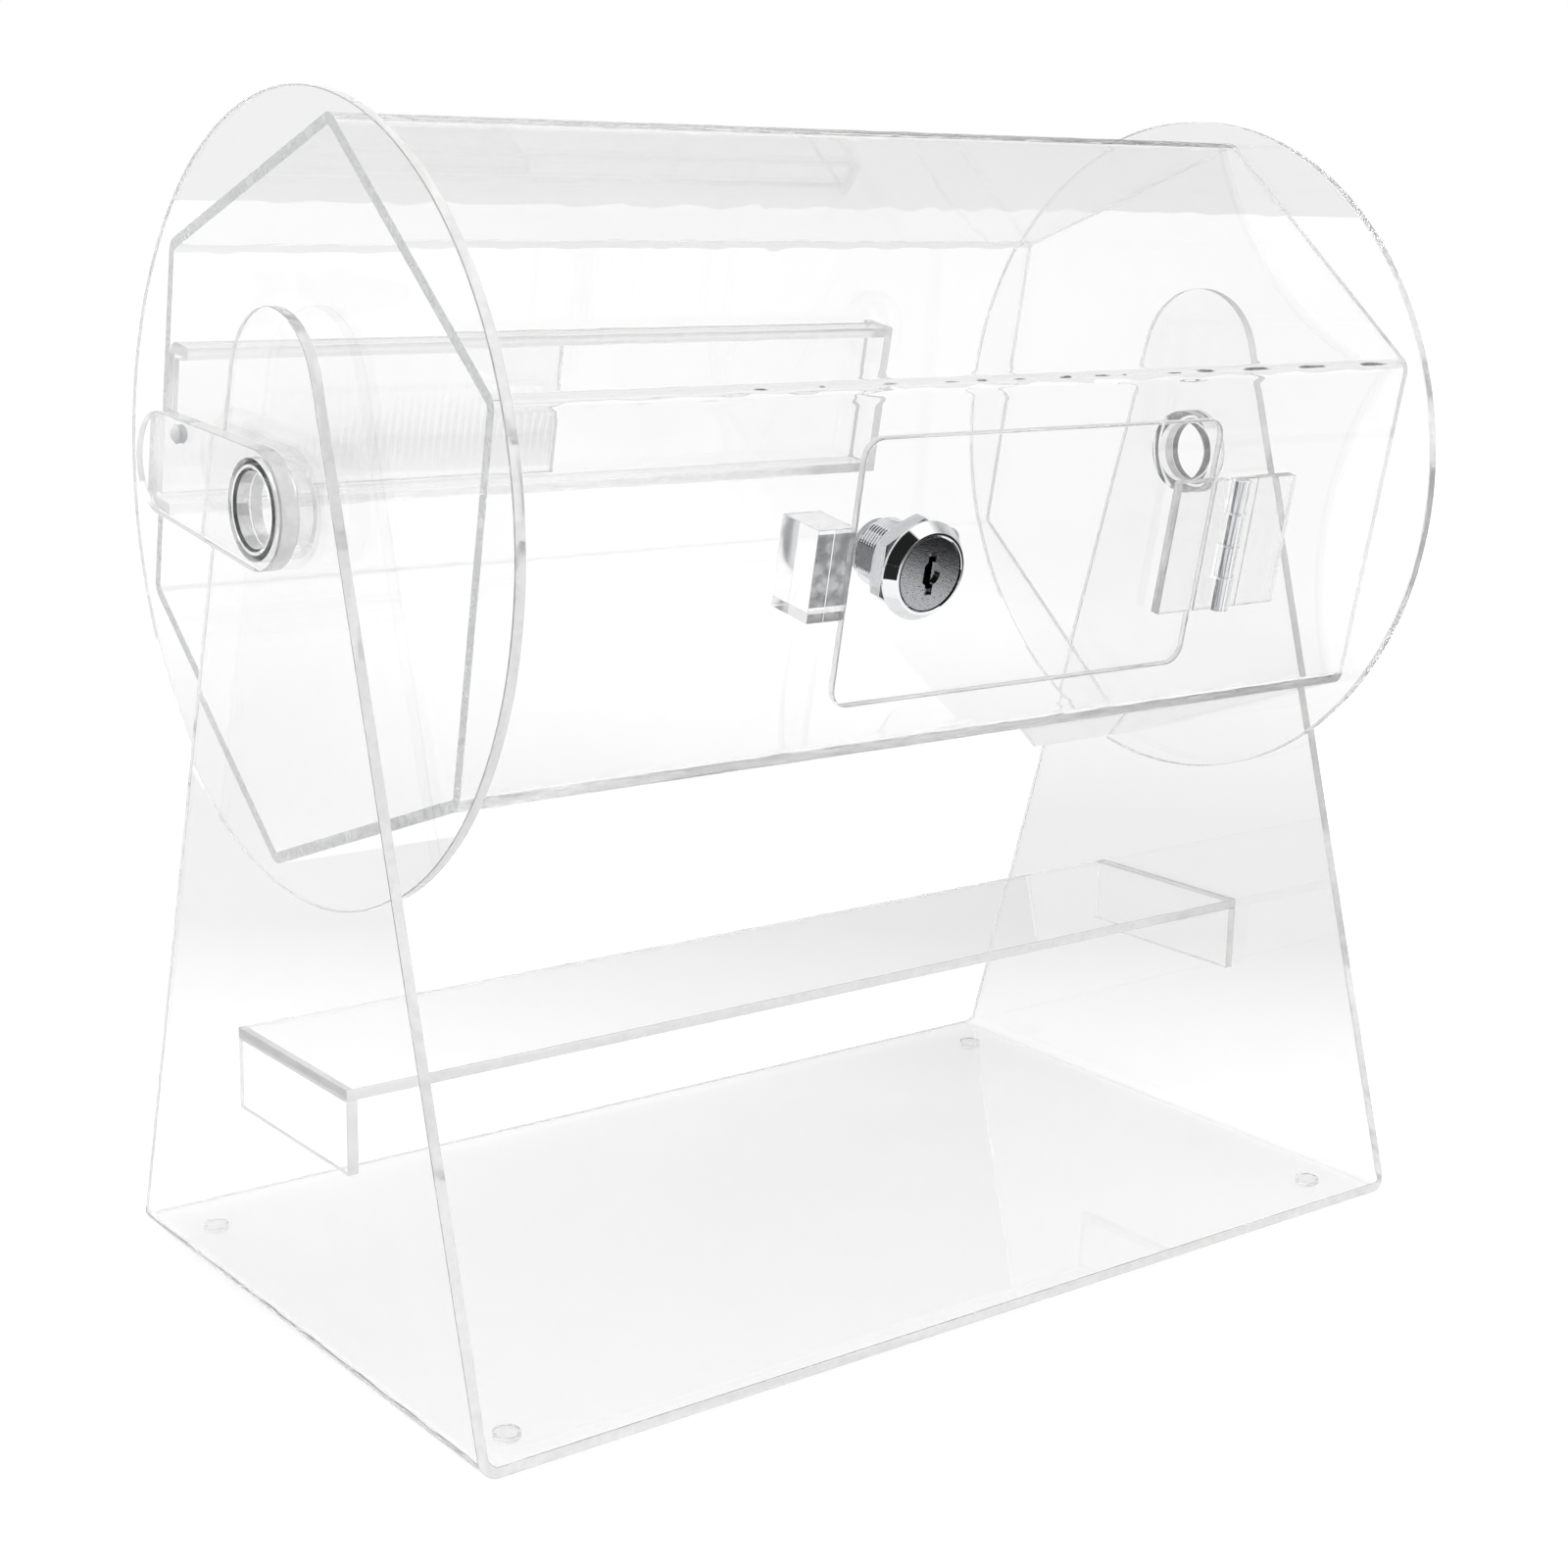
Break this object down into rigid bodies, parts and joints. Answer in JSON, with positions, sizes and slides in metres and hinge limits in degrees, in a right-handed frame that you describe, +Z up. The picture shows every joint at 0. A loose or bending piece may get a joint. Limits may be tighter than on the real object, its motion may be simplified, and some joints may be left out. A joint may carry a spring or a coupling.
{
  "type": "raffle drum with crank",
  "caption": "Clear hexagonal raffle drum between two discs, turning in a bent stand by a crank arm, with a hinged door and a cam lock.",
  "frame": {"origin": "on the floor under the axle, midway between the crank arm's outer face and the far end of the other axle tube", "axes": "+Z up, +X along the drum's axle away from the crank, the door faces -Y"},
  "size_m": [0.328, 0.2, 0.3202],
  "materials": {
    "clear_sheet": "polished clear acrylic",
    "clear_hinge": "moulded clear acrylic",
    "clear_bumper": "clear soft polyurethane",
    "chrome_plate": "bright chrome plate",
    "plug_metal": "brushed face under chrome plate",
    "steel": "plain drawn or pressed steel",
    "wafer_brass": "stamped brass"
  },
  "bodies": {
    "stand": {"stand_frame": "clear_sheet", "foot_front_left": "clear_bumper", "foot_back_left": "clear_bumper", "foot_front_right": "clear_bumper", "foot_back_right": "clear_bumper", "brace_strip": "clear_sheet", "brace_leg_left": "clear_sheet", "brace_leg_right": "clear_sheet"},
    "drum": {"end_disc_left": "clear_sheet", "end_disc_right": "clear_sheet", "barrel": "clear_sheet", "tray_channel": "clear_sheet", "tray_end": "clear_sheet", "tray_plate": "clear_sheet", "axle_tube_left": "clear_sheet", "axle_tube_right": "clear_sheet", "crank_arm": "clear_sheet", "arm_dowel": "steel", "keeper_block": "clear_sheet", "hinge_leaf_fixed": "clear_hinge", "hinge_pin": "steel"},
    "door": {"door_panel": "clear_sheet", "hinge_leaf_door": "clear_hinge", "lock_housing": "chrome_plate", "lock_nut": "chrome_plate"},
    "plug": {"lock_plug": "plug_metal", "lock_cam": "steel", "cam_screw": "steel"},
    "wafer_1": {"wafer_1": "wafer_brass"},
    "wafer_2": {"wafer_2": "wafer_brass"},
    "wafer_3": {"wafer_3": "wafer_brass"},
    "wafer_4": {"wafer_4": "wafer_brass"}
  },
  "joints": [
    {"name": "drum_spin", "type": "hinge", "parent": "stand", "child": "drum", "pos_m": [0, 0, 0.2202], "axis": [1, 0, 0], "continuous": true},
    {"name": "door_swing", "type": "hinge", "parent": "drum", "child": "door", "pos_m": [0.0877, -0.08479, 0.20479], "axis": [0, -0.1788, 0.9839], "range_deg": [0, 150]},
    {"name": "lock_turn", "type": "hinge", "parent": "door", "child": "plug", "pos_m": [-0.0205, -0.08154, 0.20538], "axis": [0, 0.9839, 0.1788], "range_deg": [0, 180]},
    {"name": "wafer_1_slide", "type": "slide", "parent": "plug", "child": "wafer_1", "axis": [0, -0.1788, 0.9839], "range_m": [0, 0.0009]},
    {"name": "wafer_2_slide", "type": "slide", "parent": "plug", "child": "wafer_2", "axis": [0, -0.1788, 0.9839], "range_m": [0, 0.0009]},
    {"name": "wafer_3_slide", "type": "slide", "parent": "plug", "child": "wafer_3", "axis": [0, -0.1788, 0.9839], "range_m": [0, 0.0009]},
    {"name": "wafer_4_slide", "type": "slide", "parent": "plug", "child": "wafer_4", "axis": [0, -0.1788, 0.9839], "range_m": [0, 0.0009]}
  ]
}
